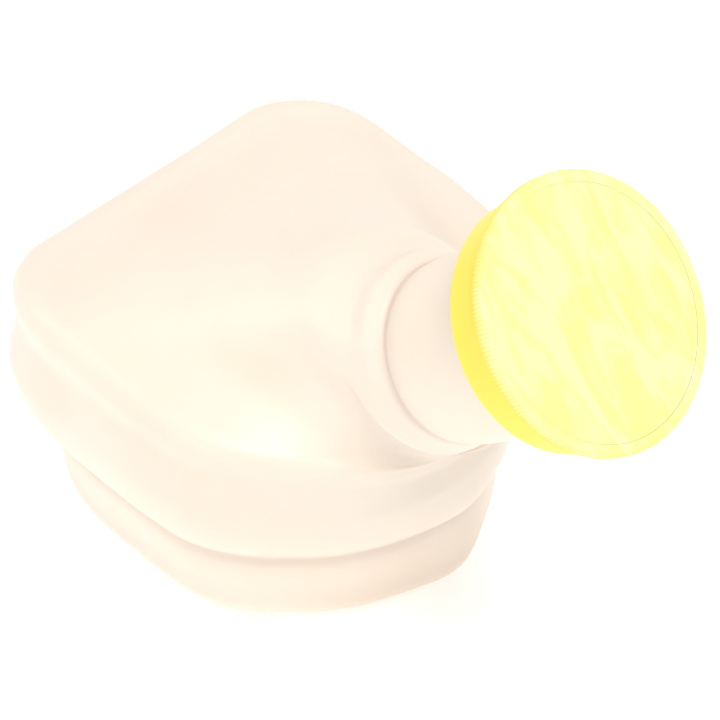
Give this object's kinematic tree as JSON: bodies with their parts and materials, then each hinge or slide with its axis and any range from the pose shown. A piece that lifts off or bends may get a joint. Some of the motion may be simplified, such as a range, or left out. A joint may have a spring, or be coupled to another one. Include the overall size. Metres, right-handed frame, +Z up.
{
  "type": "angled neck bottle",
  "caption": "Squat square-shouldered plastic bottle with a wide neck leaning forward, closed by a flanged screw cap over a sealing liner.",
  "frame": {"origin": "centre of the bottle's flat base, on the surface it stands on", "axes": "+Z up, +X towards the side the neck leans over, Y across the mirror plane"},
  "size_m": [0.1685, 0.122, 0.1373],
  "materials": {
    "bottle_plastic": "translucent milky blow-moulded polyethylene, satin",
    "cap_plastic": "semi-gloss injection-moulded polyethylene with faint flow marks",
    "liner_foam": "matt closed-cell foam"
  },
  "bodies": {
    "bottle_body": {"bottle": "bottle_plastic"},
    "liner_body": {"sealing_liner": "liner_foam"},
    "cap_body": {"screw_cap": "cap_plastic"}
  },
  "joints": [
    {"name": "cap_rise", "type": "slide", "parent": "bottle_body", "child": "liner_body", "axis": [0.682, 0, 0.7314], "range_m": [0, 0.018]},
    {"name": "cap_turn", "type": "hinge", "parent": "liner_body", "child": "cap_body", "pos_m": [0.055, 0, 0.083], "axis": [0.682, 0, 0.7314], "range_deg": [0, 720]}
  ],
  "couplings": [
    {"joint": "cap_rise", "follows": "cap_turn", "m_per_rad": 0.0014324}
  ]
}
